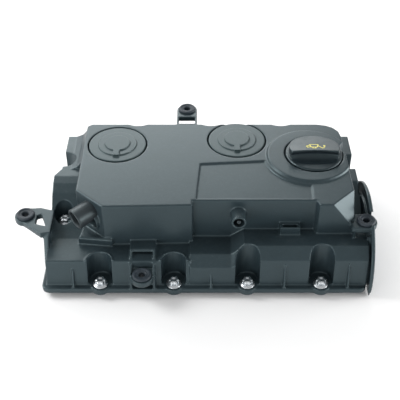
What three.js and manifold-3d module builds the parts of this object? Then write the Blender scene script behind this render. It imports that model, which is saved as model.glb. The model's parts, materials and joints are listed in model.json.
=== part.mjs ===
// Cylinder head cover with built-in crankcase breather, four-cylinder engine. Millimetres, +Z up.
// Worked out about a datum: X = 0 on the middle of the front bolt row, Y = 0 on the middle of the
// base, Z = 0 on the gasket face. The finished group is moved so that its origin is the bottom centre
// of its bounding box.
import * as THREE from 'three';
import { ConvexGeometry } from 'three/addons/geometries/ConvexGeometry.js';
import { mergeVertices } from 'three/addons/utils/BufferGeometryUtils.js';
import Module from 'manifold-3d';

// ---- overall sizes -------------------------------------------------------------------------
const PITCH = 88;                 // front bolt pitch, the same as the cylinder pitch
const FLANGE_LEFT = -202.5;
const FLANGE_RIGHT = 187;
const FLANGE_FRONT = -106;
const FLANGE_REAR = 117;
const FLANGE_T = 7;
const FLANGE_R = 9;               // corner radius of the flange
const WALL = 3;                   // moulded wall
const DECK_Z = 100;               // top deck
const TIER_Z = 80;                // end tiers
const SHELF_LEFT_Z = 40;          // front shelf, left third
const SHELF_MID_Z = 43;           // front shelf, middle
const SHELF_RIGHT_Z = 55;         // front shelf, right half
const LABEL_DEPTH = 1.8;          // recess for the label
const CORE_TOP = 36;              // height of the open space that joins all the inner rooms
const SEG = 24;

// ---- walls in plan -------------------------------------------------------------------------
const BODY_LEFT = -196;
const BODY_RIGHT = 187;
const TIER_RIGHT = 185;
const BODY_FRONT = -99;           // foot of the front wall
const BODY_REAR = 106;
const REAR_LEFT = -188;            // left wall behind the step in plan
const IN_LEFT = -191;             // inner faces at the foot of the walls
const IN_RIGHT = 179;
const IN_FRONT = -93;
const IN_REAR = 101;
const DECK_LEFT = -161;
const DECK_RIGHT = 171.8;
const DECK_FRONT = -59.7;
const DECK = [[DECK_LEFT, -32], [-127, -63], [-21.5, -60], [-21.5, -51], [124.5, -51], [127.5, DECK_FRONT],
  [DECK_RIGHT, DECK_FRONT], [170.5, 78], [168.3, 90], [162, 98.5], [153, 103.5], [141, BODY_REAR],
  [-155, BODY_REAR], [DECK_LEFT, 101]];

// ---- fasteners -----------------------------------------------------------------------------
const BOLT_D = 6;                 // M6
const BOLT_TIP = -6;              // lower end of every bolt
const WASHER_D = 18;
const WASHER_T = 1.8;
const HEAD_D = 13.2;
const HEAD_H = 8;
const SLEEVE_ID = BOLT_D + 0.8;
const SLEEVE_OD = SLEEVE_ID + 3.2;
const FIT = 0.3;                  // gap between parts that touch
const SCALLOP_R = 14.5;
const SCALLOP_SHIFT = 6;          // scallop centre, inboard of the bolt, front row
const REAR_SCALLOP_R = 24;        // the rear ones are broad and shallow
const REAR_SCALLOP_SHIFT = 14;    // scallop centre, outboard of the bolt, rear row
const DEEP_R = 11.5;              // well of the left front bolt
const PAD_R = 11.5;
const PAD_Z = 8;                  // washer seat
const BOLT_FRONT_Y = -98;
const BOLT_REAR_Y = 112;
const FRONT_SEAT = { z: PAD_Z, sx: 0, sy: SCALLOP_SHIFT, r: SCALLOP_R };
const REAR_SEAT = { z: PAD_Z, sx: 0, sy: REAR_SCALLOP_SHIFT, r: REAR_SCALLOP_R };
const BOLTS = [
  ...[-1.5, -0.5, 0.5, 1.5].map((n, i) => (
    { name: `bolt_front_${i + 1}`, x: n * PITCH, y: BOLT_FRONT_Y, ...FRONT_SEAT })),
  ...[-94, 2, 94].map((x, i) => ({ name: `bolt_rear_${i + 1}`, x, y: BOLT_REAR_Y, ...REAR_SEAT })),
  { name: 'bolt_left_front', x: -180.5, y: -21.5, z: SHELF_LEFT_Z, sx: 0, sy: 0, r: DEEP_R, deep: true },
  { name: 'bolt_left_rear', x: -189, y: 55, z: PAD_Z, sx: 2, sy: 0, r: SCALLOP_R },
  { name: 'bolt_right_rear', x: 180, y: 50, z: PAD_Z, sx: -1, sy: 0, r: SCALLOP_R },
];

// ---- gasket --------------------------------------------------------------------------------
const GASKET_W = 4;
const GASKET_H = 4.6;             // free height, so that it stands 0.6 proud of its groove
const GROOVE_D = 4;
const GASKET_CLEAR = 0.25;
const GASKET_BOW = 11;            // gasket goes round each bolt at this radius
const LAND = 2.5;                 // flange left inside the groove

// ---- breather ------------------------------------------------------------------------------
const VALVES = [{ tag: 'left', x: -118, y: 60 }, { tag: 'right', x: 34.7, y: 70 }];
const COVER_D = 73;
const COVER_GAP = 1.4;            // open ring round each cover
const COVER_T = 5;
const CHAMBER_R = COVER_D / 2 - 4.5;   // spring chamber under each round cover
const CHAMBER_FLOOR = DECK_Z - 26;
const LEDGE_Z = DECK_Z - 7.5;     // the diaphragm's bead lies here
const MEMBRANE_Z = LEDGE_Z - 3.9; // underside of the flat middle of the diaphragm
const PLATE_TOP = MEMBRANE_Z - FIT;    // top of the valve plate
const PLATE_T = 2.1;
const SEAT_R = 9;                 // outlet seat in the middle of the chamber
const SEAT_TOP = CHAMBER_FLOOR + 8.5;
const BAFFLE_Z = 60;
const BAFFLE_T = 2.5;
const NOZZLE = {
  mouth: new THREE.Vector3(-159.3, -61.5, 68),
  inward: new THREE.Vector3(0.764, 0.626, 0.14).normalize(),
  r: 13,
  bore: 10,
  socket: 19,                     // from the mouth to the outer face of its socket
  shoulder: 28,                   // from the mouth to the shoulder that seats in the socket
  tail: 41,                       // whole length
};

// ---- capped tube in the middle of the front ---------------------------------------------------
const MID_BOSS = { x: 33, y: -70, z: DECK_Z - 19.5 };

// ---- oil filler ----------------------------------------------------------------------------
const FILLER = { x: 130, y: 36 };
const BOSS = { x: 124.5, y: 35, r: 53.5, top: DECK_Z + 3 };
const CAP_D = 71;
const CAP_GAP = 1.5;              // open ring round the cap
const NECK_R = 26;                // bore of the neck
const NECK_BOTTOM = DECK_Z - 22;
const THREAD_LEAD = 12;           // two starts
const THREAD_ARC = 150;           // degrees covered by each start
const THREAD_H = 1.9;
const SKIRT_R = 23;
const GRIP_H = 15.5;              // top of the grip above the cap's seat
const CAP_RECESS = 3;             // the cap sits this deep in the boss
const SEAL_IN = 28;               // groove for the flat seal, under the cap's flange
const SEAL_OUT = 32;
const SEAL_DEPTH = 2;

// ---- rubber mounts for the engine trim --------------------------------------------------------
const GROMMET_R = 11.3;
const GROMMET_NECK = 8.6;
const GROMMET_BORE = 4;
const LUG_T = 7;
const LUG_R = 13.4;               // round end of every lug
const GROMMETS = [
  { tag: 'left', x: -226, y: -31, z: 60 },
  { tag: 'right', x: 185, y: -56.7, z: 73 },
  { tag: 'rear', x: -30, y: 141, z: DECK_Z },
  { tag: 'front', x: -81, y: -106, z: 31 },
];

// ---- belt-end arch ---------------------------------------------------------------------------
const ARCH = { x: 190, t: 3, y: -27, z: 9, r: 79 };

const wasm = await Module();
wasm.setup();

// ---- solids --------------------------------------------------------------------------------
function toSolid(geometry) {
  const g = geometry.clone();
  g.deleteAttribute('normal');
  g.deleteAttribute('uv');
  const m = mergeVertices(g, 1e-4);
  return new wasm.Manifold(new wasm.Mesh({
    numProp: 3,
    vertProperties: Float32Array.from(m.attributes.position.array),
    triVerts: Uint32Array.from(m.index.array),
  }));
}

function toGeometry(solid) {
  const mesh = solid.getMesh();
  const g = new THREE.BufferGeometry();
  g.setAttribute('position', new THREE.BufferAttribute(Float32Array.from(mesh.vertProperties), 3));
  g.setIndex(new THREE.BufferAttribute(Uint32Array.from(mesh.triVerts), 1));
  const flat = g.toNonIndexed();
  flat.computeVertexNormals();
  return flat;
}

function shapeOf(points) {
  return new THREE.Shape(points.map(([x, y]) => new THREE.Vector2(x, y)));
}

// Extrusion of a plan outline from z0 to z1; chamfer bevels both ends.
function prism(points, z0, z1, chamfer = 0) {
  const g = new THREE.ExtrudeGeometry(shapeOf(points), {
    depth: z1 - z0 - 2 * chamfer,
    bevelEnabled: chamfer > 0,
    bevelThickness: chamfer,
    bevelSize: chamfer,
    bevelOffset: -chamfer,
    bevelSegments: 1,
    steps: 1,
  });
  g.translate(0, 0, z0 + chamfer);
  return toSolid(g);
}

// Extrusion along X of a profile given as [y, z].
function prismX(points, x0, x1) {
  const g = new THREE.ExtrudeGeometry(shapeOf(points), { depth: x1 - x0, bevelEnabled: false });
  g.applyMatrix4(new THREE.Matrix4().makeBasis(
    new THREE.Vector3(0, 1, 0), new THREE.Vector3(0, 0, 1), new THREE.Vector3(1, 0, 0)));
  g.translate(x0, 0, 0);
  return toSolid(g);
}

// Extrusion along Y of a profile given as [x, z].
function prismY(points, y0, y1) {
  const g = new THREE.ExtrudeGeometry(shapeOf(points), { depth: y1 - y0, bevelEnabled: false });
  g.applyMatrix4(new THREE.Matrix4().makeBasis(
    new THREE.Vector3(1, 0, 0), new THREE.Vector3(0, 0, 1), new THREE.Vector3(0, -1, 0)));
  g.translate(0, y1, 0);
  return toSolid(g);
}

function box(x0, x1, y0, y1, z0, z1) {
  const g = new THREE.BoxGeometry(x1 - x0, y1 - y0, z1 - z0);
  g.translate((x0 + x1) / 2, (y0 + y1) / 2, (z0 + z1) / 2);
  return toSolid(g);
}

function cylinder(x, y, z0, z1, r, segments = SEG, rTop = r) {
  const g = new THREE.CylinderGeometry(rTop, r, z1 - z0, segments);
  g.rotateX(Math.PI / 2);
  g.translate(x, y, (z0 + z1) / 2);
  return toSolid(g);
}

// Cylinder from point a to point b.
function rod(a, b, r, segments = SEG) {
  const from = new THREE.Vector3(...a);
  const to = new THREE.Vector3(...b);
  const g = new THREE.CylinderGeometry(r, r, from.distanceTo(to), segments);
  const turn = new THREE.Quaternion().setFromUnitVectors(
    new THREE.Vector3(0, 1, 0), to.clone().sub(from).normalize());
  g.applyQuaternion(turn);
  const mid = from.add(to).multiplyScalar(0.5);
  g.translate(mid.x, mid.y, mid.z);
  return toSolid(g);
}

// Turned solid: profile points are [radius, z]; a profile off the axis is closed on itself.
function turned(profile, x, y, segments = SEG) {
  const closed = profile[0][0] > 0 ? [...profile, profile[0]] : profile;
  const g = new THREE.LatheGeometry(closed.map(([r, z]) => new THREE.Vector2(r, z)), segments);
  g.rotateX(Math.PI / 2);
  g.translate(x, y, 0);
  const solid = toSolid(g);
  return solid.volume() < 0 ? toSolid(flipped(g)) : solid;
}

function flipped(geometry) {
  const g = mergeVertices(geometry, 1e-4);
  const index = g.index.array;
  for (let i = 0; i < index.length; i += 3) {
    const keep = index[i];
    index[i] = index[i + 1];
    index[i + 1] = keep;
  }
  return g;
}

function hull(points) {
  return toSolid(new ConvexGeometry(points.map((p) => new THREE.Vector3(...p))));
}

function join(...solids) {
  return solids.reduce((a, b) => a.add(b));
}

function roundedRect(x0, x1, y0, y1, r, n = 4) {
  const points = [];
  const corners = [[x1 - r, y1 - r, 0], [x0 + r, y1 - r, 90], [x0 + r, y0 + r, 180], [x1 - r, y0 + r, 270]];
  for (const [cx, cy, start] of corners) {
    for (let i = 0; i <= n; i += 1) {
      const a = THREE.MathUtils.degToRad(start + (90 * i) / n);
      points.push([cx + r * Math.cos(a), cy + r * Math.sin(a)]);
    }
  }
  return points;
}

// A counter-clockwise outline moved inward by d.
function inset(points, d) {
  const n = points.length;
  return points.map((p, i) => {
    const a = points[(i + n - 1) % n];
    const b = points[(i + 1) % n];
    const u = new THREE.Vector2(p[0] - a[0], p[1] - a[1]).normalize();
    const v = new THREE.Vector2(b[0] - p[0], b[1] - p[1]).normalize();
    const k = d / (1 + u.dot(v));
    return [p[0] - (u.y + v.y) * k, p[1] + (u.x + v.x) * k];
  });
}

// Closed solid through rings of equally many points.
function sweep(rings) {
  const n = rings[0].length;
  const position = rings.flat().flatMap((p) => [p.x, p.y, p.z]);
  const index = [];
  for (let i = 0; i + 1 < rings.length; i += 1) {
    for (let k = 0; k < n; k += 1) {
      const a = i * n + k;
      const b = i * n + ((k + 1) % n);
      index.push(a, b, a + n, b, b + n, a + n);
    }
  }
  const last = (rings.length - 1) * n;
  for (let k = 1; k + 1 < n; k += 1) {
    index.push(0, k + 1, k, last, last + k, last + k + 1);
  }
  const g = new THREE.BufferGeometry();
  g.setAttribute('position', new THREE.BufferAttribute(new Float32Array(position), 3));
  g.setIndex(index);
  const solid = toSolid(g);
  return solid.volume() < 0 ? toSolid(flipped(g)) : solid;
}

// ---- the cover moulding --------------------------------------------------------------------
const LEFT_PROFILE = [[-38, SHELF_LEFT_Z], [BODY_FRONT + 7, SHELF_LEFT_Z], [BODY_FRONT, 5], [0, 5],
  [0, SHELF_LEFT_Z]].reverse();
const MID_PROFILE = [[BODY_FRONT, 5], [0, 5], [0, SHELF_MID_Z], [-83, SHELF_MID_Z],
  [-96, SHELF_MID_Z - 10]];
const RIGHT_PROFILE = [[BODY_FRONT, 5], [0, 5], [0, SHELF_RIGHT_Z], [-81.5, SHELF_RIGHT_Z],
  [-94, SHELF_RIGHT_Z - 12]];

// Left tier's slope down to the front shelf: y, and how much of the drop is done by there.
const LEFT_SLOPE = [[20, 0], [8, 0.05], [-4, 0.2], [-16, 0.48], [-28, 0.77], [-40, 0.94], [-52, 1]];

function leftEnd(shrink) {
  const s = shrink;
  const low = s > 0 ? -1 : 5;
  const outline = [[BODY_LEFT + s * 1.6, BODY_FRONT - 9], [-120, BODY_FRONT - 9], [-120, BODY_REAR - s * 1.6],
    [REAR_LEFT + s * 1.6, BODY_REAR - s * 1.6], [REAR_LEFT + s * 1.6, 34 - s],
    [REAR_LEFT - 1 + s * 1.6, 34 - s],
    [BODY_LEFT + s * 1.6, 22 - s]];
  const profile = [[BODY_FRONT + s * 2, low], [BODY_REAR, low], [BODY_REAR, TIER_Z - s],
    ...LEFT_SLOPE.map(([y, done]) => [y + s * 0.4, TIER_Z - done * (TIER_Z - SHELF_LEFT_Z) - s]),
    [BODY_FRONT + 7 + s, SHELF_LEFT_Z - s]];
  return prism(outline, low, TIER_Z + 1).intersect(prismX(profile, BODY_LEFT - 1, -100));
}

function rightEnd(shrink) {
  const s = shrink;
  const low = s > 0 ? -1 : 5;
  const profile = [[-70, low], [BODY_REAR - s * 1.6, low], [BODY_REAR - s * 1.6, TIER_Z - s],
    [10 + s * 0.4, TIER_Z - s], [-33, SHELF_RIGHT_Z - s], [-70, SHELF_RIGHT_Z - s]];
  const outline = [[140, -70], [IN_RIGHT + (s > 0 ? 0 : TIER_RIGHT - IN_RIGHT), -70],
    [IN_RIGHT + (s > 0 ? 0 : TIER_RIGHT - IN_RIGHT), BODY_REAR - s * 1.6], [140, BODY_REAR - s * 1.6]];
  return prism(outline, low, TIER_Z + 1).intersect(prismX(profile, 139, BODY_RIGHT));
}

function deckBlock() {
  const block = prism(DECK, 5, DECK_Z, 1.2);
  const corner = hull([[171.8, -24, DECK_Z + 9], [136, -59.7, DECK_Z + 9], [171.8, -59.7, 62],
    [190, -24, DECK_Z + 9], [136, -80, DECK_Z + 9], [190, -80, DECK_Z + 9], [190, -80, 62]]);
  return block.subtract(corner);
}

function frontShelves() {
  const step = hull([
    ...RIGHT_PROFILE.map(([y, z]) => [40.5, y, z]),
    ...MID_PROFILE.map(([y, z]) => [24, y, z]),
  ]);
  return join(prismX(LEFT_PROFILE, -150, -24), prismX(MID_PROFILE, -25, 26), step,
    prismX(RIGHT_PROFILE, 40, BODY_RIGHT));
}

function scallopCut(b) {
  if (b.deep) {
    return cylinder(b.x, b.y, b.z, DECK_Z, b.r, 18);
  }
  const alongY = Math.abs(b.y) > 90;
  const way = alongY ? Math.sign(b.y) : Math.sign(b.x);
  const cx = b.x + b.sx;
  const cy = b.y + b.sy;
  const span = (c) => (way > 0 ? [c, c + 60] : [c - 60, c]);
  const [x0, x1] = alongY ? [cx - b.r, cx + b.r] : span(cx);
  const [y0, y1] = alongY ? span(cy) : [cy - b.r, cy + b.r];
  const segments = b.r > SCALLOP_R ? 44 : 24;
  return join(cylinder(cx, cy, b.z, 130, b.r, segments), box(x0, x1, y0, y1, b.z, 130));
}

// What each bolt keeps solid inside the cover.
function boltCore(b, extra = 0) {
  if (b.deep) {
    return join(cylinder(b.x, b.y, -2, b.z, SLEEVE_OD / 2 + 3.5 + extra, 16),
      cylinder(b.x, b.y, b.z - WALL - extra, DECK_Z, b.r + WALL + extra, 18));
  }
  return join(cylinder(b.x + b.sx, b.y + b.sy, -2, DECK_Z + 9, b.r + WALL + extra, b.r > SCALLOP_R ? 36 : 18),
    cylinder(b.x, b.y, -2, DECK_Z + 9, GASKET_BOW + GASKET_W + LAND + extra, 16));
}

function gasketRegion(extra, clear, z0, z1) {
  const rect = roundedRect(FLANGE_LEFT + 5 + extra - clear, FLANGE_RIGHT - 3.5 - extra + clear,
    FLANGE_FRONT + 7.5 + extra - clear, FLANGE_REAR - 6 - extra + clear, 8, 3);
  let region = prism(rect, z0, z1);
  for (const b of BOLTS) {
    if (!b.deep) {
      region = region.subtract(cylinder(b.x, b.y, z0 - 1, z1 + 1, GASKET_BOW + extra - clear, 14));
    }
  }
  return region;
}

function gasketLoop(clear, z0, z1) {
  return gasketRegion(0, clear, z0, z1)
    .subtract(gasketRegion(GASKET_W, -clear, z0 - 1, z1 + 1));
}

function gasket() {
  return gasketLoop(0, GROOVE_D - GASKET_H, GROOVE_D - FIT);
}

// ---- lugs that carry the trim mounts ---------------------------------------------------------
function lugTop(g) {
  return g.z - FIT - 0.5;
}

function lugPlate(g, points, thickness = LUG_T) {
  const top = lugTop(g);
  return join(prism(points, top - thickness, top), cylinder(g.x, g.y, top - thickness, top, LUG_R, 24));
}

function lugHole(g) {
  return cylinder(g.x, g.y, g.z - LUG_T - 3, g.z + 10, GROMMET_NECK + FIT, 16);
}

// Two arms round an open window, and a gusset under the front arm.
function leftLug(g) {
  const top = lugTop(g);
  const plate = lugPlate(g, [[-227, -44.4], [-203, -65], [-192, -62], [-192, -22], [-209.6, -16.5],
    [-224, -17.5]]);
  const window = prism([[-212.5, -46], [-198.5, -50.6], [-206.5, -29.5], [-212, -31.6]], top - 20, top + 5);
  const gusset = prismX([[-62, top], [-58, top], [-70, 24], [-78, 24]], -200, -194);
  const web = join(prismY([[-203, top - 1], [-192, top - 1], [-192, 20]], -63, -59),
    prismY([[-207, top - 1], [-192, top - 1], [-192, 36]], -24, -20));
  return join(plate.subtract(window), web, gusset);
}

function rightLug(g) {
  const top = lugTop(g);
  const root = DECK_RIGHT - 2;
  const plate = lugPlate(g, [[root - 3, -69.5], [190, -70.4], [g.x + 11, -64], [g.x + 11.5, -50], [189, -43.4],
    [root, -43.4], [root, DECK_FRONT + 1], [root - 3, DECK_FRONT + 1]]);
  return plate.add(box(root, root + 3, -68, -45, SHELF_RIGHT_Z - 2, top));
}

// A plate on two thin rails, open between it and the deck.
function rearLug(g) {
  const top = lugTop(g);
  const half = 13.4;
  const plate = lugPlate(g, [[g.x - half, 123.5], [g.x + half, 123.5], [g.x + half, g.y], [g.x - half, g.y]]);
  const rails = [g.x - half, g.x + half - 2.6].map((x) => box(x, x + 2.6, BODY_REAR - 4, 125, top - LUG_T, top));
  return join(plate, ...rails, box(g.x - half, g.x + half, BODY_REAR - 4, BODY_REAR + 2.6, top - LUG_T, top));
}

// Channel arm: two cheeks from the shelf down to the flange, with the plate between them.
function frontLug(g) {
  const top = lugTop(g);
  const half = 15.2;
  const cheek = [[g.y, FLANGE_T - 1], [-95, FLANGE_T - 1], [-92, 30], [-60, 34], [-60, 46.5], [-78, 46.5],
    [g.y, top + 1]];
  const plate = lugPlate(g, [[g.x - half, g.y], [g.x + half, g.y], [g.x + half, -94], [g.x - half, -94]]);
  const roof = prismX([[-60, 42], [-60, 46.5], [-78, 46.5], [-79.5, 44], [-79, 42]], g.x - half, g.x + half);
  const cheeks = [g.x - half, g.x + half - 2.8].map((x) => prismX(cheek, x, x + 2.8));
  return join(plate, roof, ...cheeks);
}

function lugs() {
  const [left, right, rear, front] = GROMMETS;
  return join(leftLug(left), rightLug(right), rearLug(rear), frontLug(front));
}

// Half-round end plate towards the belt drive, on a web, with a thin leg that ends at the bolt tips.
function endArch() {
  const disc = (x0, x1, r) => prismX(Array.from({ length: 60 }, (_, i) => {
    const t = (i * Math.PI) / 30;
    return [ARCH.y + r * Math.cos(t), ARCH.z + r * Math.sin(t)];
  }), x0, x1);
  const outer = ARCH.x + ARCH.t;
  const plate = disc(ARCH.x, outer, ARCH.r);
  const web = disc(BODY_RIGHT - 1, ARCH.x + 1, ARCH.r - 14);
  const lip = disc(ARCH.x - 1.6, outer, ARCH.r).subtract(disc(ARCH.x - 3, outer + 1, ARCH.r - 2.2));
  const above = box(180, 200, -140, 34, 0, 120);
  const leg = disc(ARCH.x, ARCH.x + 1.6, ARCH.r).subtract(disc(ARCH.x - 1, outer + 1, ARCH.r - 16))
    .intersect(box(180, 200, -125, ARCH.y - 60, BOLT_TIP + 0.2, 1));
  const room = box(180, 200, -78, 20, -10, 38);
  const [, right] = GROMMETS;
  const clear = cylinder(right.x, right.y, right.z - 12, right.z + 9, GROMMET_R + 1.3, 18);
  return join(plate, web, lip).intersect(above).subtract(room).subtract(clear).add(leg);
}

function fillerBoss() {
  const ring = cylinder(BOSS.x, BOSS.y, DECK_Z - 2, BOSS.top, BOSS.r + 2, 48, BOSS.r - 1.5);
  const within = prism(inset(DECK, 0.6), DECK_Z - 4, DECK_Z + 8);
  return ring.intersect(within);
}

function neck() {
  return cylinder(FILLER.x, FILLER.y, NECK_BOTTOM, DECK_Z, NECK_R + WALL, 18);
}

// Two-start ridge on a wall of radius root; crest is the radius that it reaches.
function thread(root, crest, z0) {
  const half = THREAD_H / 2;
  const starts = [0, 180].map((start) => {
    const rings = [];
    for (let i = 0; i <= 12; i += 1) {
      const turn = (THREAD_ARC * i) / 12;
      const t = THREE.MathUtils.degToRad(start + turn);
      const z = z0 + (THREAD_LEAD * turn) / 360;
      const at = (r, dz) => new THREE.Vector3(r * Math.cos(t), r * Math.sin(t), z + dz);
      rings.push([at(root, -half), at(root, half), at(crest, half * 0.6), at(crest, -half * 0.6)]);
    }
    return sweep(rings);
  });
  return join(...starts).translate([FILLER.x, FILLER.y, 0]);
}

function valveChamber(v) {
  const wall = cylinder(v.x, v.y, CHAMBER_FLOOR - WALL, DECK_Z - 1, CHAMBER_R + WALL, 18);
  const upper = cylinder(v.x, v.y, LEDGE_Z - WALL, DECK_Z - 1, COVER_D / 2 + COVER_GAP + WALL, 18);
  const seatTube = cylinder(v.x, v.y, 66, CHAMBER_FLOOR, SEAT_R + 2.4, 14);
  return join(wall, upper, seatTube);
}

function valveCut(v) {
  const room = cylinder(v.x, v.y, CHAMBER_FLOOR, DECK_Z + 1, CHAMBER_R, 18);
  const mouth = cylinder(v.x, v.y, LEDGE_Z, DECK_Z + 1, COVER_D / 2 + COVER_GAP, 40);
  const seat = cylinder(v.x, v.y, CHAMBER_FLOOR - 1, SEAT_TOP, SEAT_R, 14);
  const outlet = cylinder(v.x, v.y, 60, SEAT_TOP + 1, SEAT_R - 2.4, 14);
  let cut = join(room, mouth).subtract(seat).add(outlet);
  for (const angle of [45, 135, 225, 315]) {
    const t = THREE.MathUtils.degToRad(angle);
    cut = cut.add(cylinder(v.x + 21 * Math.cos(t), v.y + 21 * Math.sin(t), CHAMBER_FLOOR - 5,
      CHAMBER_FLOOR + 1, 4, 12));
  }
  return cut;
}

function labelPanel() {
  const outline = prism([[-17.5, -48.3], [121.5, -48.3], [122.5, 30], [-12.5, 19.7]], DECK_Z - LABEL_DEPTH,
    DECK_Z + 6);
  return outline.subtract(cylinder(BOSS.x, BOSS.y, DECK_Z - 5, DECK_Z + 8, BOSS.r + 3.5, 48));
}

function frontRibs() {
  const rib = (x, top) => prismX([[FLANGE_FRONT + 1, 5], [BODY_FRONT + 3, 5], [BODY_FRONT + 8, top],
    [BODY_FRONT + 2.5, top]], x - 1.2, x + 1.2);
  return join(rib(-1.5 * PITCH - 32, 29), rib(0.6, 26), rib(PITCH, 37), rib(1.5 * PITCH + 32, 39));
}

// Raised lip round the head of a left-hand front scallop.
function scallopLip(b) {
  return cylinder(b.x + b.sx, b.y + b.sy, 25, SHELF_LEFT_Z + 1.8, SCALLOP_R + 2.4, 24)
    .intersect(box(b.x - 20, b.x + 20, b.y + b.sy, -60, 20, 60));
}

// Fillet between the left tier and the deck.
function tierFillet() {
  return prismY([[DECK_LEFT + 1, TIER_Z - 1], [DECK_LEFT + 1, TIER_Z + 17], [DECK_LEFT - 2, TIER_Z + 10],
    [DECK_LEFT - 7, TIER_Z + 4], [DECK_LEFT - 16, TIER_Z - 0.2], [DECK_LEFT - 16, TIER_Z - 1]].reverse(),
  34, BODY_REAR);
}

// Point on the nozzle's axis, so far inward from its mouth.
function alongNozzle(distance) {
  return NOZZLE.mouth.clone().addScaledVector(NOZZLE.inward, distance).toArray();
}

function coverBody() {
  const flange = prism(roundedRect(FLANGE_LEFT, FLANGE_RIGHT, FLANGE_FRONT, FLANGE_REAR, FLANGE_R), 0,
    FLANGE_T, 0.8);
  let outer = join(flange, leftEnd(0), rightEnd(0), frontShelves(), deckBlock(), fillerBoss());
  const ledge = prism([[-159, -62], [-118, -66.5], [-118, -40], [-156, -40]], 38, 51, 2);
  outer = join(outer, ledge, tierFillet(), ...BOLTS.slice(0, 2).map(scallopLip));
  for (const b of BOLTS) {
    if (b.deep) {
      outer = outer.add(cylinder(b.x, b.y, 5, b.z, b.r - 0.5, 18));
    }
    outer = outer.subtract(scallopCut(b));
    if (!b.deep) {
      outer = outer.add(cylinder(b.x, b.y, 0, PAD_Z, PAD_R, 16));
    }
  }
  outer = join(outer, frontRibs());

  // Inner rooms.
  const inDeck = prism(inset(DECK, WALL).map(([x, y]) => [x, Math.min(y, IN_REAR)]), -1, DECK_Z - WALL);
  const cornerKeep = hull([[171.8, -20, DECK_Z + 9], [132, -59.7, DECK_Z + 9], [171.8, -59.7, 56],
    [190, -20, DECK_Z + 9], [132, -84, DECK_Z + 9], [190, -84, DECK_Z + 9], [190, -84, 56]]);
  const frontIn = (x0, x1, top, y1) => prismX([[IN_FRONT, -1], [0, -1], [0, top], [y1, top],
    [IN_FRONT + 2, top - 8], [IN_FRONT, 8]], x0, x1);
  let rooms = join(inDeck.subtract(cornerKeep), leftEnd(WALL), rightEnd(WALL),
    box(IN_LEFT, IN_RIGHT, IN_FRONT + 14, 20, -1, CORE_TOP),
    box(REAR_LEFT + 5, IN_RIGHT, 15, IN_REAR, -1, CORE_TOP),
    frontIn(IN_LEFT, -27.5, SHELF_LEFT_Z - WALL, IN_FRONT + 4),
    frontIn(-21, 22, SHELF_MID_Z - WALL, IN_FRONT + 12),
    frontIn(43, IN_RIGHT, SHELF_RIGHT_Z - WALL, IN_FRONT + 14));
  for (const b of BOLTS) {
    rooms = rooms.subtract(boltCore(b));
  }
  const below = prism(roundedRect(IN_LEFT, IN_RIGHT, IN_FRONT, IN_REAR, 5, 3), -1, FLANGE_T + 1);
  rooms = rooms.intersect(below.add(box(-300, 300, -200, 200, FLANGE_T, 200)));
  for (const v of VALVES) {
    rooms = rooms.subtract(valveChamber(v));
  }
  rooms = rooms.subtract(neck());
  for (const [x, y] of [[-100, 0], [-20, 70], [100, -35], [-60, -40]]) {
    rooms = rooms.subtract(cylinder(x, y, BAFFLE_Z + BAFFLE_T + FIT, DECK_Z - WALL + 1, 4, 12));
  }

  let body = outer.subtract(rooms);
  body = body.add(lugs());
  body = body.add(endArch());
  const socket = rod(alongNozzle(NOZZLE.tail + 4), alongNozzle(NOZZLE.socket), NOZZLE.r + WALL, 24);
  body = body.add(socket);
  body = body.subtract(rod(alongNozzle(NOZZLE.tail + 20), alongNozzle(0), NOZZLE.r - 2 + FIT, 20));
  body = body.subtract(rod(alongNozzle(NOZZLE.shoulder + FIT), alongNozzle(0), NOZZLE.r + FIT, 24));
  const boss = (from, to, r) => rod([MID_BOSS.x, from, MID_BOSS.z], [MID_BOSS.x, to, MID_BOSS.z], r, 24);
  body = body.add(boss(-46, MID_BOSS.y, 8.8)).subtract(boss(-40, MID_BOSS.y - 1, 6.4));
  body = body.add(clipPocket()).subtract(labelPanel());
  for (const v of VALVES) {
    body = body.subtract(valveCut(v));
  }
  body = body.subtract(cylinder(FILLER.x, FILLER.y, NECK_BOTTOM - 5, BOSS.top + 1, NECK_R, 30));
  body = body.subtract(cylinder(FILLER.x, FILLER.y, BOSS.top - CAP_RECESS, BOSS.top + 1, CAP_D / 2 + CAP_GAP, 48));
  body = body.add(thread(NECK_R + 0.8, NECK_R - 1.7, NECK_BOTTOM + 9));
  for (const b of BOLTS) {
    body = body.subtract(cylinder(b.x, b.y, -1, b.z + 1, SLEEVE_OD / 2 + FIT, 14));
  }
  body = body.subtract(gasketLoop(GASKET_CLEAR, -1, GROOVE_D));
  for (const g of GROMMETS) {
    body = body.subtract(lugHole(g));
  }
  const [, right] = GROMMETS;
  body = body.subtract(cylinder(right.x, right.y, SHELF_RIGHT_Z + 1, right.z - LUG_T - 0.9, 12, 18));
  return body.simplify(0.06);
}

function clipPocket() {
  const wall = box(83, 107, -62, -50, 53, 66);
  return wall.subtract(box(86, 104, -60, -55, 58, 70));
}

// ---- loose parts ---------------------------------------------------------------------------
function sleeve(b) {
  return cylinder(b.x, b.y, 0.2, b.z - 0.05, SLEEVE_OD / 2, 14)
    .subtract(cylinder(b.x, b.y, -1, b.z + 1, SLEEVE_ID / 2, 14));
}

// Collar screw with a six-lobed head.
function bolt(b) {
  const seat = b.z + FIT;
  const shank = BOLT_D / 2;
  const stem = turned([[0, BOLT_TIP], [shank - 1, BOLT_TIP], [shank, BOLT_TIP + 1], [shank, seat],
    [WASHER_D / 2, seat], [WASHER_D / 2, seat + WASHER_T], [HEAD_D / 2 + 0.6, seat + WASHER_T + 0.9],
    [0, seat + WASHER_T + 0.9]], b.x, b.y, 14);
  const lobes = [];
  for (let i = 0; i < 18; i += 1) {
    const t = (i * Math.PI) / 9;
    const r = i % 3 === 1 ? HEAD_D / 2 - 1.4 : HEAD_D / 2;
    lobes.push([b.x + r * Math.cos(t), b.y + r * Math.sin(t)]);
  }
  return stem.add(prism(lobes, seat + 1, seat + HEAD_H, 0.8));
}

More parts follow.
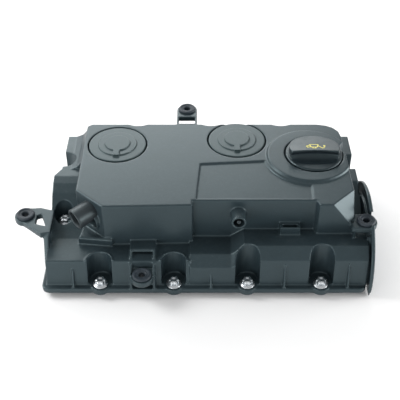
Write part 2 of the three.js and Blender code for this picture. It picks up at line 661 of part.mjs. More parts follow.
function grommet(g) {
  const top = g.z - FIT - 0.5;
  const bottom = top - LUG_T;
  return turned([
    [GROMMET_BORE, bottom - 2.4], [9.6, bottom - 2.4], [10.4, bottom - FIT], [GROMMET_NECK, bottom - FIT],
    [GROMMET_NECK, top + FIT], [GROMMET_R, top + FIT], [GROMMET_R, top + 2.2], [GROMMET_R - 1.2, top + 3.2],
    [8, top + 3.2], [7.4, top + 2.4], [5.2, top + 2.4], [GROMMET_BORE, top + 1.2],
  ], g.x, g.y, 14);
}

// Plate with a raised round plateau and a keyhole-shaped one on top of it.
function roundCover(v) {
  const r = COVER_D / 2;
  const z0 = LEDGE_Z + 1.9;
  const top = DECK_Z + 0.4;
  const disc = turned([[0, top - COVER_T + 1], [20, top - COVER_T + 1], [CHAMBER_R - 5, z0], [r, z0], [r, top - 0.8],
    [r - 0.8, top], [0, top]], v.x, v.y, 44);
  const plateau = cylinder(v.x, v.y, top - 1, top + 1.2, r - 11.7, 36, r - 12.1);
  const key = join(cylinder(v.x, v.y, top, top + 2.6, 16.4, 30, 16),
    box(v.x - 3.8, v.x + 3.8, v.y - (r - 10.5), v.y, top - 0.5, top + 2.6));
  return join(disc, plateau, key).subtract(cylinder(v.x, v.y, 80, top - COVER_T + 3.6, 2.2, 10));
}

function diaphragm(v) {
  const r = CHAMBER_R + 3.8;
  const z = LEDGE_Z + FIT;
  const low = MEMBRANE_Z;
  return turned([[0, low + 1.3], [20, low + 1.3], [CHAMBER_R - 7.5, low + 2], [CHAMBER_R - 4, low + 4.5],
    [r, z + 1.3], [r, z], [CHAMBER_R - 0.5, z], [CHAMBER_R - 3, low + 2.8], [CHAMBER_R - 6.5, low + 0.3],
    [20, low], [0, low]].reverse(), v.x, v.y, 20);
}

function valvePlate(v) {
  const low = PLATE_TOP - PLATE_T;
  const disc = turned([[0, PLATE_TOP], [14, PLATE_TOP], [15, PLATE_TOP - 0.9], [15, low], [12.4, low - 0.3],
    [0, low]].reverse(), v.x, v.y, 24);
  return disc.add(turned([[11.2, low - 2], [12.4, low - 2], [12.4, low + 0.8], [11.2, low + 0.8]], v.x, v.y, 24));
}

function springSolid(v) {
  const rMid = 17.2;
  const wire = 0.8;
  const z0 = CHAMBER_FLOOR + FIT + wire;
  const z1 = PLATE_TOP - PLATE_T - FIT - wire - 0.9;
  const turns = 3.5;
  const steps = 48;
  const rings = [];
  for (let i = 0; i <= steps; i += 1) {
    const f = i / steps;
    const t = f * turns * 2 * Math.PI;
    const r = rMid - 3.6 * f;
    const ring = [];
    for (let k = 0; k < 5; k += 1) {
      const a = (k * Math.PI) / 2.5;
      const rr = r + wire * Math.cos(a);
      ring.push(new THREE.Vector3(rr * Math.cos(t), rr * Math.sin(t), z0 + (z1 - z0) * f + wire * Math.sin(a)));
    }
    rings.push(ring);
  }
  return sweep(rings).translate([v.x, v.y, 0]);
}

function baffle() {
  const plan = inset(DECK, WALL + 1.2).map(([x, y]) => [x, Math.min(y, IN_REAR - 1.2)]);
  let s = prism(plan, BAFFLE_Z, BAFFLE_Z + BAFFLE_T);
  for (const b of BOLTS) {
    s = s.subtract(boltCore(b, 0.8));
  }
  for (const [x, y] of [[-140, 20], [-60, 80], [60, -20]]) {
    s = s.add(cylinder(x, y, 42, BAFFLE_Z + 1, 6, 14)).subtract(cylinder(x, y, 40, 70, 4, 14));
  }
  for (const x of [-90, -78, -66, 0, 12, 24, 36]) {
    s = s.subtract(box(x, x + 5, -30, 20, 50, 70));
  }
  s = s.subtract(cylinder(FILLER.x, FILLER.y, 50, 70, NECK_R + 2, 24));
  return s.subtract(rod(alongNozzle(NOZZLE.tail + 8), alongNozzle(0), NOZZLE.r + WALL + 1.5, 16));
}

function nozzle() {
  return rod(alongNozzle(NOZZLE.tail), alongNozzle(0), NOZZLE.r - 2, 28)
    .add(rod(alongNozzle(NOZZLE.shoulder - FIT), alongNozzle(0), NOZZLE.r, 28))
    .subtract(rod(alongNozzle(NOZZLE.tail + 10), alongNozzle(-10), NOZZLE.bore, 28));
}

function oilCap() {
  const base = BOSS.top - CAP_RECESS + FIT;
  const x = FILLER.x;
  const y = FILLER.y;
  const r = CAP_D / 2;
  let s = turned([[0, base + 1.2], [SKIRT_R - 3, base + 1.2], [SKIRT_R - 3, NECK_BOTTOM + 3],
    [SKIRT_R, NECK_BOTTOM + 3], [SKIRT_R, base], [SEAL_IN, base], [SEAL_IN, base + SEAL_DEPTH],
    [SEAL_OUT, base + SEAL_DEPTH], [SEAL_OUT, base], [r, base], [r, base + 3.2], [r - 1.4, base + 4.4],
    [0, base + 5.4]], x, y, 48);
  const reach = 31.5;
  const front = y - 13;
  const start = Math.asin((front - y) / reach);
  const grip = [];
  for (let i = 0; i <= 24; i += 1) {
    const t = start + ((Math.PI - 2 * start) * i) / 24;
    grip.push([x + reach * Math.cos(t), y + reach * Math.sin(t)]);
  }
  for (let i = 1; i < 8; i += 1) {
    const f = i / 8;
    grip.push([x - reach * Math.cos(start) * (1 - 2 * f), front + 3 * Math.sin(Math.PI * f)]);
  }
  const slope = prismX([[front - 4, base + GRIP_H + 3], [front - 4, base + GRIP_H], [front + 3, base + GRIP_H],
    [y + reach + 2, base + 7.5], [y + reach + 2, base + GRIP_H + 3]].reverse(), x - 40, x + 40);
  s = s.add(prism(grip, base + 3, base + GRIP_H, 1).subtract(slope));
  const bowl = toSolid(new THREE.SphereGeometry(1, 36, 18).rotateX(Math.PI / 2).scale(37, 10, 6.6)
    .translate(x, y - 17, base + 9.1));
  s = s.subtract(bowl);
  return s.add(thread(SKIRT_R - 0.8, SKIRT_R + 2.3, NECK_BOTTOM + 9 - THREAD_H - 0.5));
}

function capSeal() {
  const z = BOSS.top - CAP_RECESS + FIT;
  return turned([[SEAL_IN + 0.3, z - 0.15], [SEAL_OUT - 0.3, z - 0.15], [SEAL_OUT - 0.3, z + SEAL_DEPTH - 0.2],
    [SEAL_IN + 0.3, z + SEAL_DEPTH - 0.2]], FILLER.x, FILLER.y, 36);
}

function midPlug() {
  const pin = (from, to, r) => rod([MID_BOSS.x, from, MID_BOSS.z], [MID_BOSS.x, to, MID_BOSS.z], r, 20);
  return pin(-52, MID_BOSS.y + 1, 2.6).add(pin(-52, -55, 6.1));
}

// ---- assembly ------------------------------------------------------------------------------
const group = new THREE.Group();
group.name = 'cylinder_head_cover';

function add(name, solid, colour, roughness, metalness) {
  const mesh = new THREE.Mesh(toGeometry(solid),
    new THREE.MeshStandardMaterial({ color: colour, roughness, metalness }));
  mesh.name = name;
  group.add(mesh);
}

add('cover_body', coverBody(), 0x3d444a, 0.55, 0);
add('breather_baffle', baffle(), 0x30353a, 0.6, 0);
add('breather_nozzle', nozzle(), 0x2b3035, 0.45, 0);
add('perimeter_gasket', gasket(), 0x20242a, 0.8, 0);
for (const v of VALVES) {
  add(`round_cover_${v.tag}`, roundCover(v), 0x485056, 0.5, 0);
  add(`diaphragm_${v.tag}`, diaphragm(v), 0x1d2024, 0.75, 0);
  add(`valve_plate_${v.tag}`, valvePlate(v), 0xc9c6b8, 0.5, 0);
  add(`valve_spring_${v.tag}`, springSolid(v), 0xb8bcc0, 0.3, 1);
}
add('cap_seal', capSeal(), 0x15181b, 0.8, 0);
add('oil_filler_cap', oilCap(), 0x1e2227, 0.35, 0);
for (const b of BOLTS) {
  add(b.name, bolt(b), 0xc4c8cc, 0.28, 1);
  add(b.name.replace('bolt', 'sleeve'), sleeve(b), 0x9da2a6, 0.4, 1);
}
for (const g of GROMMETS) {
  add(`grommet_${g.tag}`, grommet(g), 0x262d38, 0.8, 0);
}
add('mid_boss_plug', midPlug(), 0x24282c, 0.5, 0);

const bounds = new THREE.Box3().setFromObject(group);
const shift = new THREE.Vector3((bounds.min.x + bounds.max.x) / -2, (bounds.min.y + bounds.max.y) / -2,
  -bounds.min.z);
group.children.forEach((mesh) => mesh.geometry.translate(shift.x, shift.y, shift.z));

export default group;
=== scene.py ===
"""Cylinder head cover with a built-in breather: finishes, rounded mouldings, screws, caps and seals."""
import json
import math

import bmesh
import bpy
from mathutils import Matrix, Vector

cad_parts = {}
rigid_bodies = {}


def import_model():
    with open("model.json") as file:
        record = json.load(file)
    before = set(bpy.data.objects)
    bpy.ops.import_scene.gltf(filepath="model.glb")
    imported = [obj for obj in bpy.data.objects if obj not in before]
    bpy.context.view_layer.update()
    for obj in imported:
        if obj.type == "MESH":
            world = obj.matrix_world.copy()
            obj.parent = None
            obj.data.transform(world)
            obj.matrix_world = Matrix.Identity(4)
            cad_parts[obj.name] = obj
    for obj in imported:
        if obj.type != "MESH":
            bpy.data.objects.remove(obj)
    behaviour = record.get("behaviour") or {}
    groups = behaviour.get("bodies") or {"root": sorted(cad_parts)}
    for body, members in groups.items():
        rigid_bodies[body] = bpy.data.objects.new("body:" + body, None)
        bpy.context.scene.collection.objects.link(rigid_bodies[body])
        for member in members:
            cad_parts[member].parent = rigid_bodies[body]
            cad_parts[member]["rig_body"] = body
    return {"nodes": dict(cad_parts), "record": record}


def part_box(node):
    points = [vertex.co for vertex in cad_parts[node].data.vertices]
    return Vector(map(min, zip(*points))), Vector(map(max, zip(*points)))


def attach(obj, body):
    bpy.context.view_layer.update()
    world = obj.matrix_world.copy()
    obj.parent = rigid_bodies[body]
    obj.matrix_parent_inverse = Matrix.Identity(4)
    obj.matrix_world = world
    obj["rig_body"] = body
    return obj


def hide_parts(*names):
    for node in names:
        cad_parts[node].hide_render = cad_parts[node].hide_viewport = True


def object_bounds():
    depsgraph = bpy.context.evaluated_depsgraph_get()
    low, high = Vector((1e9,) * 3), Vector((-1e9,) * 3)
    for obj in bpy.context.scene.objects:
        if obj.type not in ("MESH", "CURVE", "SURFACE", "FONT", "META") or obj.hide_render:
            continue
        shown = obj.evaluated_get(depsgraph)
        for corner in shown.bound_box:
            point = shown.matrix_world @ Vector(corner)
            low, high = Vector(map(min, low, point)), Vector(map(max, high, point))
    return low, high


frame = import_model()
cad_low, cad_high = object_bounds()
nodes = frame["nodes"]

MM = 0.001
SCREW_TIP = -6.0                  # lower end of the screws, from the gasket face
SCREW_ROW = -98.0                 # front screw row, from the middle of the base


# ---- places --------------------------------------------------------------------------------
def middle(node):
    low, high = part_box(node)
    return (low + high) / 2


def datum():
    """Where the gasket face, the middle of the base and the middle of the front screw row meet."""
    first, last = middle("bolt_front_1"), middle("bolt_front_4")
    low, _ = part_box("bolt_front_1")
    return Vector(((first.x + last.x) / 2, first.y - SCREW_ROW * MM, low.z - SCREW_TIP * MM))


DATUM = datum()


def at(x, y, z):
    return DATUM + Vector((x, y, z)) * MM


def span(node):
    """The node's box in millimetres from the datum: lowest corner, highest corner, middle."""
    low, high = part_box(node)
    low, high = (low - DATUM) / MM, (high - DATUM) / MM
    return low, high, (low + high) / 2


def mount(name):
    return next(m for m in frame["record"]["mounts"] if m["name"] == name)


def upright(x, y):
    """Frame of a part that is turned about a vertical axis."""
    return Matrix.Translation(at(x, y, 0))


def along(start, direction):
    """Frame with its origin at start, in metres, and its Z along direction."""
    return Matrix.Translation(Vector(start)) @ Vector(direction).to_track_quat("Z", "Y").to_matrix().to_4x4()


# ---- shader maths --------------------------------------------------------------------------
class Wire:
    """A socket that can be used in sums; every sum adds a Math node."""

    def __init__(self, finish, socket):
        self.finish = finish
        self.socket = socket

    def _sum(self, operation, a, b=None, clamp=False):
        values = {0: a} if b is None else {0: a, 1: b}
        return self.finish.node("ShaderNodeMath", {"operation": operation, "use_clamp": clamp}, values)

    def __add__(self, other):
        return self._sum("ADD", self, other)

    def __radd__(self, other):
        return self._sum("ADD", other, self)

    def __sub__(self, other):
        return self._sum("SUBTRACT", self, other)

    def __rsub__(self, other):
        return self._sum("SUBTRACT", other, self)

    def __mul__(self, other):
        return self._sum("MULTIPLY", self, other)

    def __rmul__(self, other):
        return self._sum("MULTIPLY", other, self)

    def __truediv__(self, other):
        return self._sum("DIVIDE", self, other)

    def __pow__(self, other):
        return self._sum("POWER", self, other)

    def clamp(self):
        return self._sum("ADD", self, 0.0, clamp=True)

    def step(self, low, high):
        """0 below low, 1 above high, smooth between."""
        return self.finish.node(
            "ShaderNodeMapRange", {"interpolation_type": "SMOOTHSTEP"},
            {"Value": self, "From Min": low, "From Max": high})

    def greatest(self, other):
        return self._sum("MAXIMUM", self, other)

    def least(self, other):
        return self._sum("MINIMUM", self, other)


class Finish:
    """One material under construction."""

    def __init__(self, name):
        self.material = bpy.data.materials.new(name)
        self.material.use_nodes = True
        self.tree = self.material.node_tree
        self.tree.nodes.clear()
        self.shader = self.tree.nodes.new("ShaderNodeBsdfPrincipled")
        out = self.tree.nodes.new("ShaderNodeOutputMaterial")
        self.tree.links.new(self.shader.outputs[0], out.inputs[0])

    def node(self, kind, settings=None, sockets=None, out=0):
        made = self.tree.nodes.new(kind)
        for key, value in (settings or {}).items():
            if key == "stops":
                self._stops(made.color_ramp, value)
            else:
                setattr(made, key, value)
        for key, value in (sockets or {}).items():
            self._feed(made.inputs[key], value)
        return Wire(self, made.outputs[out])

    def _stops(self, ramp, stops):
        while len(ramp.elements) < len(stops):
            ramp.elements.new(0.5)
        for element, (place, colour) in zip(ramp.elements, stops):
            element.position = place
            element.color = colour if len(colour) == 4 else (*colour, 1.0)

    def _feed(self, socket, value):
        if isinstance(value, Wire):
            self.tree.links.new(value.socket, socket)
        elif isinstance(value, tuple) and len(value) == 3 and socket.type == "RGBA":
            socket.default_value = (*value, 1.0)
        else:
            socket.default_value = value

    def set(self, **sockets):
        for key, value in sockets.items():
            self._feed(self.shader.inputs[key.replace("_", " ")], value)
        return self

    # Patterns, in object space. Sizes are in millimetres.
    def place(self, stretch=(1.0, 1.0, 1.0)):
        spot = self.node("ShaderNodeTexCoord", out=3)
        return self.node("ShaderNodeMapping", {}, {"Vector": spot, "Scale": stretch})

    def noise(self, size, detail=2.0, rough=0.5, stretch=(1.0, 1.0, 1.0), seed=0.0):
        return self.node(
            "ShaderNodeTexNoise", {"noise_dimensions": "4D"},
            {"Vector": self.place(stretch), "W": seed, "Scale": 1.0 / (size * MM), "Detail": detail,
             "Roughness": rough})

    def cells(self, size, feature="F1", stretch=(1.0, 1.0, 1.0)):
        return self.node(
            "ShaderNodeTexVoronoi", {"feature": feature},
            {"Vector": self.place(stretch), "Scale": 1.0 / (size * MM)})

    def edges(self):
        """0.5 on flats, more on outer edges and less in corners."""
        return self.node("ShaderNodeNewGeometry", out=7)

    def facing_up(self):
        normal = self.node("ShaderNodeNewGeometry", out=1)
        return self.node("ShaderNodeSeparateXYZ", {}, {0: normal}, out=2)

    def mix(self, amount, a, b, blend="MIX"):
        return self.node("ShaderNodeMix", {"data_type": "RGBA", "blend_type": blend}, {0: amount, 6: a, 7: b}, 2)

    def bump(self, height, depth, strength=1.0, under=None):
        """depth is the real height of the relief in millimetres."""
        sockets = {"Height": height, "Distance": depth * MM, "Strength": strength}
        if under is not None:
            sockets["Normal"] = under
        return self.node("ShaderNodeBump", {}, sockets)


SHEEN = (0.76, 0.96, 1.0)         # the plastic's cool reflections


def moulded_plastic(name, dark, light, rough=0.47, grain=0.02, gloss=0.5):
    """Glass-filled plastic from a tool: fine grain, faint flow marks, short fibres, rubbed edges, dust."""
    f = Finish(name)
    flow = f.noise(46, 3.0, 0.55, (1.0, 1.6, 1.2), 3.1)
    cloud = f.noise(9, 4.0, 0.6, seed=1.7)
    grain_noise = f.noise(0.55, 3.0, 0.62, seed=5.2)
    fibre = f.noise(0.9, 2.0, 0.5, (0.35, 1.6, 1.0), 8.4).step(0.57, 0.70)
    rubbed = f.edges().step(0.53, 0.62) * f.noise(3.2, 3.0, 0.6, seed=9.9).step(0.35, 0.62)
    dust = f.facing_up().step(0.55, 1.0) * f.noise(3.5, 5.0, 0.7, seed=2.4).step(0.44, 0.80)
    tone = f.mix((flow * 0.55 + cloud * 0.45).clamp(), dark, light)
    tone = f.mix(fibre * 0.16, tone, tuple(min(1.0, c * 2.1) for c in light))
    tone = f.mix(rubbed * 0.32, tone, tuple(min(1.0, c * 2.6) for c in light))
    tone = f.mix(dust * 0.045, tone, (0.30, 0.33, 0.33))
    relief = grain_noise * 0.7 + fibre * 0.3
    gentle = f.bump(f.noise(22, 2.0, 0.5, seed=6.6), 0.25, 0.5)
    f.set(Base_Color=tone, Roughness=(rough + (grain_noise - 0.5) * 0.12 + dust * 0.08 - rubbed * 0.1).clamp(),
          Normal=f.bump(relief, grain, 0.6, gentle))
    f.set(Specular_IOR_Level=gloss, IOR=1.52, Specular_Tint=SHEEN)
    return f.material


def smooth_plastic(name, dark, light, rough=0.3):
    """Polished moulding with hairline scratches and finger marks."""
    f = Finish(name)
    cloud = f.noise(14, 3.0, 0.55, seed=2.2)
    hair = f.noise(0.6, 2.0, 0.5, (0.06, 1.0, 1.0), 4.4).step(0.60, 0.66)
    hair2 = f.noise(0.6, 2.0, 0.5, (1.0, 0.07, 1.0), 7.4).step(0.61, 0.67)
    scratch = hair.greatest(hair2)
    rubbed = f.edges().step(0.53, 0.62) * f.noise(2.4, 3.0, 0.6, seed=3.9).step(0.35, 0.6)
    smear = f.noise(10, 4.0, 0.65, seed=8.1).step(0.42, 0.7)
    tone = f.mix(cloud, dark, light)
    tone = f.mix(scratch * 0.10, tone, tuple(min(1.0, c * 2.4) for c in light))
    tone = f.mix(rubbed * 0.35, tone, tuple(min(1.0, c * 2.8) for c in light))
    fine = f.noise(0.4, 2.0, 0.5, seed=1.1)
    f.set(Base_Color=tone, Roughness=(rough + smear * 0.12 + scratch * 0.1).clamp(),
          Normal=f.bump(fine * 0.6 - scratch * 0.4, 0.012, 0.5))
    f.set(Specular_IOR_Level=0.5, IOR=1.52, Specular_Tint=SHEEN)
    return f.material


def rubber(name, dark, light, rough=0.62):
    """Moulded rubber: matt skin with bloom and tiny pits."""
    f = Finish(name)
    bloom = f.noise(4.5, 4.0, 0.65, seed=4.0).step(0.4, 0.75)
    pits = f.cells(0.8).step(0.12, 0.3)
    fine = f.noise(0.35, 3.0, 0.6, seed=2.0)
    rubbed = f.edges().step(0.53, 0.63)
    tone = f.mix(bloom * 0.6, dark, light)
    tone = f.mix(rubbed * 0.25, tone, tuple(min(1.0, c * 1.9) for c in light))
    f.set(Base_Color=tone, Roughness=(rough + bloom * 0.14 - rubbed * 0.08).clamp(),
          Normal=f.bump(fine * 0.5 + pits * 0.5, 0.03, 0.5))
    f.set(Specular_IOR_Level=0.42, IOR=1.5)
    return f.material


def bright_steel(name, base, rough=0.26, turned=(1.0, 1.0, 12.0), tint=(0.80, 0.80, 0.74)):
    """Zinc-plated or drawn steel: fine turning lines, crystal mottling, painted shade that darkens the recesses.
    """
    f = Finish(name)
    mottle = f.noise(1.7, 4.0, 0.6, seed=5.0)
    lines = f.noise(1.1, 2.0, 0.5, turned, 3.0)
    spots = f.noise(0.8, 3.0, 0.6, seed=7.7).step(0.60, 0.74)
    worn = f.edges().step(0.52, 0.6)
    # painted shade: a mask of the recesses and inner corners, where shade falls
    painted_recess_shade = 1 - f.edges().step(0.38, 0.5)
    tone = f.mix(mottle, base, tint)
    # painted shade mixed into the colour: recesses and corners go darker
    tone = f.mix(painted_recess_shade * 0.55, tone, tuple(c * 0.35 for c in base))
    tone = f.mix(spots * 0.25, tone, tuple(c * 0.6 for c in base))
    f.set(Base_Color=tone, Metallic=(0.97 - spots * 0.2).clamp(),
          Roughness=(rough + (mottle - 0.5) * 0.16 + spots * 0.2 - worn * 0.06).clamp(),
          Normal=f.bump(lines * 0.7 + mottle * 0.3, 0.012, 0.6))
    return f.material


def printed_paint(name, base):
    """Pad-printed ink: slightly broken at its edges, with pinholes that show the plastic."""
    f = Finish(name)
    patch = f.noise(1.3, 4.0, 0.7, seed=6.0)
    holes = f.noise(0.5, 3.0, 0.6, seed=2.9).step(0.62, 0.72)
    tone = f.mix(patch, base, tuple(c * 0.72 for c in base))
    tone = f.mix(holes * 0.6, tone, (0.05, 0.05, 0.045))
    f.set(Base_Color=tone, Roughness=(0.42 + patch * 0.15).clamp(), Normal=f.bump(patch, 0.02, 0.5))
    return f.material


def pale_ground():
    """Studio paper with the slightest tooth."""
    f = Finish("studio_paper")
    tooth = f.noise(1.5, 3.0, 0.6)
    tone = f.mix(f.noise(300, 2.0, 0.5), (0.93, 0.93, 0.93), (0.97, 0.97, 0.97))
    f.set(Base_Color=tone, Roughness=(0.8 + tooth * 0.15).clamp(), Normal=f.bump(tooth, 0.03, 0.3))
    return f.material


BODY = moulded_plastic("cover_plastic", (0.014, 0.0225, 0.027), (0.023, 0.036, 0.043), 0.36)
INNER = moulded_plastic("inner_plastic", (0.014, 0.017, 0.020), (0.024, 0.028, 0.032), 0.42)
DISC = moulded_plastic("round_cover_plastic", (0.018, 0.029, 0.032), (0.029, 0.044, 0.048), 0.38)
CAP = smooth_plastic("cap_plastic", (0.008, 0.013, 0.016), (0.014, 0.021, 0.026), 0.28)
TRIM_RUBBER = rubber("trim_rubber", (0.016, 0.025, 0.034), (0.034, 0.049, 0.064), 0.55)
SEAL_RUBBER = rubber("seal_rubber", (0.012, 0.012, 0.013), (0.03, 0.03, 0.032), 0.55)
ZINC = bright_steel("zinc_plate", (0.58, 0.62, 0.66), 0.28, tint=(0.68, 0.71, 0.72))
PLAIN_STEEL = bright_steel("turned_steel", (0.42, 0.42, 0.41), 0.34)
WIRE_STEEL = bright_steel("spring_wire", (0.50, 0.50, 0.49), 0.3, (1.0, 1.0, 1.0))
PALE = moulded_plastic("natural_plastic", (0.50, 0.47, 0.40), (0.60, 0.57, 0.50), 0.42, 0.01)
YELLOW = printed_paint("yellow_print", (0.82, 0.74, 0.16))


# ---- making pieces -------------------------------------------------------------------------
def new_object(name, mesh, material):
    piece = bpy.data.objects.new(name, mesh)
    bpy.context.scene.collection.objects.link(piece)
    mesh.materials.clear()
    mesh.materials.append(material)
    return piece


def from_bmesh(name, work, material, sharp=32):
    bmesh.ops.recalc_face_normals(work, faces=work.faces)
    mesh = bpy.data.meshes.new(name)
    work.to_mesh(mesh)
    work.free()
    piece = new_object(name, mesh, material)
    shade(piece, sharp)
    return piece


def shade(piece, sharp=32):
    mesh = piece.data
    for face in mesh.polygons:
        face.use_smooth = True
    mesh.set_sharp_from_angle(angle=math.radians(sharp))


def settle(piece):
    """Replaces the piece's mesh by what its modifiers make of it."""
    bpy.context.view_layer.update()
    graph = bpy.context.evaluated_depsgraph_get()
    made = bpy.data.meshes.new_from_object(piece.evaluated_get(graph))
    piece.modifiers.clear()
    old = piece.data
    piece.data = made
    bpy.data.meshes.remove(old)


def rounded(piece, width, steps=3, angle=28):
    edge = piece.modifiers.new("round", "BEVEL")
    edge.width = width * MM
    edge.segments = steps
    edge.limit_method = "ANGLE"
    edge.angle_limit = math.radians(angle)
    edge.harden_normals = False
    settle(piece)
    shade(piece, 50)
    return piece


def hand_over(piece, node):
    """The piece stands for a CAD node and moves with that node's body."""
    body = nodes[node]["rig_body"]
    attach(piece, body)
    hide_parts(node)
    return piece


def moulding(name, node, material, voxel, passes, faces):
    """The CAD solid with its edges rounded over as a moulding tool rounds them."""
    piece = new_object(name, nodes[node].data.copy(), material)
    remesh = piece.modifiers.new("grid", "REMESH")
    remesh.mode = "VOXEL"
    remesh.voxel_size = voxel * MM
    soft = piece.modifiers.new("soft", "SMOOTH")
    soft.factor = 0.5
    soft.iterations = passes
    settle(piece)
    count = len(piece.data.polygons)
    if count > faces:
        thin = piece.modifiers.new("thin", "DECIMATE")
        thin.ratio = faces / count
        settle(piece)
    shade(piece, 40)
    piece.data.materials.clear()
    piece.data.materials.append(material)
    return hand_over(piece, node)


def turned(name, profile, frame_of, material, segments=96, bevel=0.35):
    """Closed ring or solid of revolution about the frame's Z; profile is [radius, z] in millimetres."""
    work = bmesh.new()
    rings = []
    for radius, z in profile:
        count = segments if radius > 1e-6 else 1
        turns = [2 * math.pi * i / segments for i in range(count)]
        rings.append([work.verts.new(frame_of @ (Vector((radius * math.cos(t), radius * math.sin(t), z)) * MM))
                      for t in turns])
    closed = profile[0][0] > 1e-6
    pairs = list(zip(rings, rings[1:])) + ([(rings[-1], rings[0])] if closed else [])
    for a, b in pairs:
        for i in range(segments if len(a) + len(b) > 2 else 0):
            j = (i + 1) % segments
            corners = [a[i % len(a)], a[j % len(a)], b[j % len(b)], b[i % len(b)]]
            work.faces.new(list(dict.fromkeys(corners)))
    piece = from_bmesh(name, work, material)
    if bevel:
        rounded(piece, bevel)
    return piece


# ---- the pieces ----------------------------------------------------------------------------
def make_cover():
    moulding("cover_moulding", "cover_body", BODY, 0.8, 5, 200000)


def make_round_cover(tag):
    moulding(f"round_cover_plate_{tag}", f"round_cover_{tag}", DISC, 0.45, 3, 36000)


def make_screw(node):
    low, high, centre = span(node)
    seat = high.z - 8.0
    place = upright(centre.x, centre.y)
    collar = turned(
        f"{node}_collar",
        [[0, low.z], [2.0, low.z], [3.0, low.z + 1.0], [3.0, seat], [9.0, seat], [9.0, seat + 1.4],
         [8.3, seat + 1.9], [7.5, seat + 2.3], [6.6, seat + 3.0], [0, seat + 3.0]], place, ZINC, 72, 0.28)
    hand_over(collar, node)
    head = lobed_head(f"{node}_head", centre.x, centre.y, seat + 2.7, high.z)
    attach(head, nodes[node]["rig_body"])


def lobed_head(name, x, y, z0, z1):
    """Six-lobed head with a domed top and a small dimple."""
    work = bmesh.new()
    steps = 72
    levels = [(0.0, 0.97), (0.4, 1.0), (z1 - z0 - 1.8, 1.0), (z1 - z0 - 0.7, 0.92), (z1 - z0 - 0.1, 0.72),
              (z1 - z0, 0.5), (z1 - z0 - 0.5, 0.34), (z1 - z0 - 0.8, 0.12)]
    rings = []
    for height, scale in levels:
        ring = []
        for i in range(steps):
            t = 2 * math.pi * i / steps
            r = (6.0 + 0.62 * math.cos(6 * t)) * scale
            if scale < 0.6:
                r = 6.0 * scale
            ring.append(work.verts.new(at(x + r * math.cos(t), y + r * math.sin(t), z0 + height)))
        rings.append(ring)
    for a, b in zip(rings, rings[1:]):
        for i in range(steps):
            j = (i + 1) % steps
            work.faces.new([a[i], a[j], b[j], b[i]])
    work.faces.new(rings[0])
    work.faces.new(rings[-1])
    return from_bmesh(name, work, ZINC, 38)


def make_sleeve(node):
    low, high, centre = span(node)
    piece = turned(f"{node}_tube", [[3.4, low.z], [5.0, low.z], [5.0, high.z], [3.4, high.z]],
                   upright(centre.x, centre.y), PLAIN_STEEL, 48, 0.25)
    hand_over(piece, node)


def make_grommet(node):
    low, _, centre = span(node)
    base = low.z
    under = base + 2.1
    top = under + 7.6
    piece = turned(
        f"{node}_bush",
        [[4, base], [9.6, base], [10.4, under], [8.6, under], [8.6, top], [11.3, top], [11.3, top + 1.6],
         [10.2, top + 2.9], [8.0, top + 2.9], [7.3, top + 2.0], [5.3, top + 2.0], [4, top + 0.9]],
        upright(centre.x, centre.y), TRIM_RUBBER, 96, 0.4)
    hand_over(piece, node)


def make_nozzle():
    """Hose spigot with a rolled lip at its mouth and a stop shoulder in its socket."""
    outlet = mount("breather_outlet")
    place = along(outlet["pos_m"], [-c for c in outlet["axis"]])
    spigot = turned(
        "nozzle_spigot",
        [[10, 0.9], [10.9, 0], [12.5, 0], [13, 0.7], [13, 2.6], [12.7, 3.3], [12.7, 27.7], [11, 27.7], [11, 41],
         [10, 41]], place, INNER, 112, 0.3)
    hand_over(spigot, "breather_nozzle")


def make_cap():
    moulding("cap_moulding", "oil_filler_cap", CAP, 0.42, 4, 90000)
    oil_sign("cap_oil_sign")


# Outline of a plain oil can for the cap: strokes as seen by a reader, in millimetres.
SIGN_STROKES = (
    ((-5.0, -5.4), (5.6, -5.4), (4.4, 1.6), (-3.2, 1.6), (-5.0, -5.4)),
    ((-4.2, -2.4), (-9.4, 4.4), (-12.0, 3.4)),
    ((4.6, 0.6), (8.8, 2.4), (10.0, -1.2), (5.4, -3.6)),
    ((-1.2, 1.6), (-1.2, 4.6), (2.4, 4.6), (2.4, 1.6)),
)
SIGN_DROP = ((-12.3, 0.6), (-11.4, -1.8), (-12.3, -3.2), (-13.2, -1.8), (-12.3, 0.6))
GRIP_EDGE = -10.0                 # where the grip's top starts to fall away, from the cap's axis
GRIP_FALL = 8.0 / 43.5            # slope of the grip's top towards the rear


def oil_sign(name):
    """Raised sign that lies on the sloping top of the grip, the right way up from the rear."""
    _, high, centre = span("oil_filler_cap")
    slope = Vector((0, 1, -GRIP_FALL)).normalized()
    normal = Vector((0, GRIP_FALL, 1)).normalized()
    middle_y = GRIP_EDGE + 10.5
    origin = Vector((centre.x, centre.y + middle_y, high.z - GRIP_FALL * (middle_y - GRIP_EDGE)))
    work = bmesh.new()
    for stroke in SIGN_STROKES + (SIGN_DROP,):
        for start, end in zip(stroke, stroke[1:]):
            ends = [origin - Vector((x, 0, 0)) - slope * y for x, y in (start, end)]
            stroke_bar(work, *ends, normal, 0.62)
    piece = from_bmesh(name, work, YELLOW)
    grid = piece.modifiers.new("grid", "REMESH")
    grid.mode = "VOXEL"
    grid.voxel_size = 0.16 * MM
    settle(piece)
    shade(piece, 50)
    piece.data.materials.clear()
    piece.data.materials.append(YELLOW)
    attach(piece, nodes["oil_filler_cap"]["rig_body"])


def stroke_bar(work, start, end, normal, half):
    """Flat bar with round ends, in millimetres from the datum, standing a little proud of the surface."""
    run = (end - start).normalized()
    side = normal.cross(run)
    steps = 10
    rim = [end + (run * math.sin(t) + side * math.cos(t)) * half for t in
           (math.pi * i / steps for i in range(steps + 1))]
    rim += [start - (run * math.sin(t) + side * math.cos(t)) * half for t in
            (math.pi * i / steps for i in range(steps + 1))]
    loops = [[work.verts.new(at(*(point + normal * lift))) for point in rim] for lift in (-0.45, 0.2)]
    for i in range(len(rim)):
        j = (i + 1) % len(rim)
        work.faces.new([loops[0][i], loops[0][j], loops[1][j], loops[1][i]])
    work.faces.new(loops[0])
    work.faces.new(loops[1])


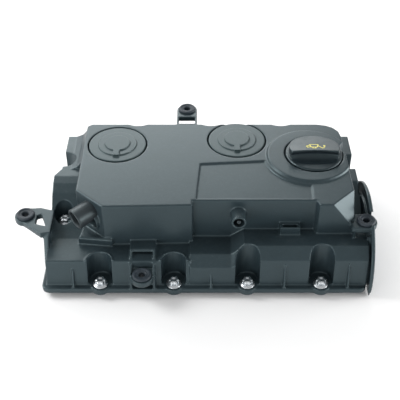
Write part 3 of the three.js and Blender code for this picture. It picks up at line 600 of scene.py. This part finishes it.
def make_small_parts():
    low, high, centre = span("mid_boss_plug")
    plug = turned(
        "mid_plug_pin",
        [[0, 0], [1.9, 0], [2.6, 0.7], [2.6, 13.6], [3.2, 14.0], [6.1, 14.0], [6.1, high.y - low.y],
         [0, high.y - low.y]],
        along(at(centre.x, low.y, centre.z), (0, 1, 0)), INNER, 64, 0.25)
    hand_over(plug, "mid_boss_plug")
    low, high, centre = span("cap_seal")
    outer = (high.x - low.x) / 2
    ring = turned(
        "cap_seal_ring",
        [[outer - 3.4, low.z + 0.5], [outer - 2.6, low.z], [outer - 0.8, low.z], [outer, low.z + 0.5],
         [outer, high.z - 0.3], [outer - 0.4, high.z], [outer - 3.0, high.z], [outer - 3.4, high.z - 0.3]],
        upright(centre.x, centre.y), SEAL_RUBBER, 96, 0.12)
    hand_over(ring, "cap_seal")
    moulding("gasket_cord", "perimeter_gasket", SEAL_RUBBER, 0.55, 3, 60000)
    moulding("baffle_plate", "breather_baffle", INNER, 0.8, 2, 60000)
    for tag in ("left", "right"):
        node = f"valve_plate_{tag}"
        low, high, centre = span(node)
        disc = turned(
            f"valve_disc_{tag}",
            [[0, high.z], [13.6, high.z], [15, high.z - 1.0], [15, high.z - 2.1], [12.4, high.z - 2.4],
             [12.4, low.z], [11.2, low.z], [11.2, high.z - 2.3], [0, high.z - 2.1]],
            upright(centre.x, centre.y), PALE, 72, 0.2)
        hand_over(disc, node)


def make_floor():
    size = 3.0
    work = bmesh.new()
    corners = [work.verts.new((sx * size, sy * size, cad_low.z - 0.0005)) for sx, sy in
               ((-1, -1), (1, -1), (1, 1), (-1, 1))]
    work.faces.new(corners)
    floor = from_bmesh("studio_floor", work, pale_ground())


def make_camera():
    data = bpy.data.cameras.new("camera")
    data.lens = 72.0
    data.sensor_width = 36.0
    data.clip_end = 20.0
    camera = bpy.data.objects.new("camera", data)
    tilt = math.radians(40.0)
    camera.matrix_world = Matrix.Translation(at(-12.6, -769.3, 703.0)) @ Matrix.Rotation(
        math.pi / 2 - tilt, 4, "X")
    bpy.context.scene.collection.objects.link(camera)
    bpy.context.scene.camera = camera


def lamp(name, place, target, size, power, colour=(1.0, 1.0, 1.0)):
    data = bpy.data.lights.new(name, "AREA")
    data.shape = "RECTANGLE"
    data.size, data.size_y = size
    data.energy = power
    data.color = colour
    piece = bpy.data.objects.new(name, data)
    piece.location = place
    piece.rotation_mode = "QUATERNION"
    piece.rotation_quaternion = (Vector(target) - Vector(place)).to_track_quat("-Z", "Y")
    bpy.context.scene.collection.objects.link(piece)


def make_light():
    world = bpy.data.worlds.new("studio")
    world.use_nodes = True
    ground = world.node_tree.nodes["Background"]
    ground.inputs["Color"].default_value = (1.0, 1.0, 1.0, 1.0)
    ground.inputs["Strength"].default_value = 0.55
    bpy.context.scene.world = world
    aim = (0.0, 0.0, 0.07)
    lamp("softbox_rear", (-0.47, 1.30, 0.83), aim, (2.0, 0.6), 19)
    lamp("softbox_right", (1.15, -0.10, 0.24), aim, (1.0, 0.5), 13)
    lamp("softbox_left", (-0.95, 0.15, 0.80), aim, (0.5, 0.5), 9)
    lamp("softbox_front", (-0.80, -1.20, 0.16), aim, (1.1, 0.4), 9)
    bpy.context.scene.view_settings.view_transform = "Standard"


make_cover()
make_cap()
make_nozzle()
make_small_parts()
for tag in ("left", "right"):
    make_round_cover(tag)
MAKERS = {"bolt_": make_screw, "sleeve_": make_sleeve, "grommet_": make_grommet}
FINISHES = {"diaphragm_": SEAL_RUBBER, "valve_spring_": WIRE_STEEL}
for node in sorted(nodes):
    for start, make in MAKERS.items():
        if node.startswith(start):
            make(node)
    for start, material in FINISHES.items():
        if node.startswith(start):
            nodes[node].data.materials.clear()
            nodes[node].data.materials.append(material)
make_floor()
make_camera()
make_light()
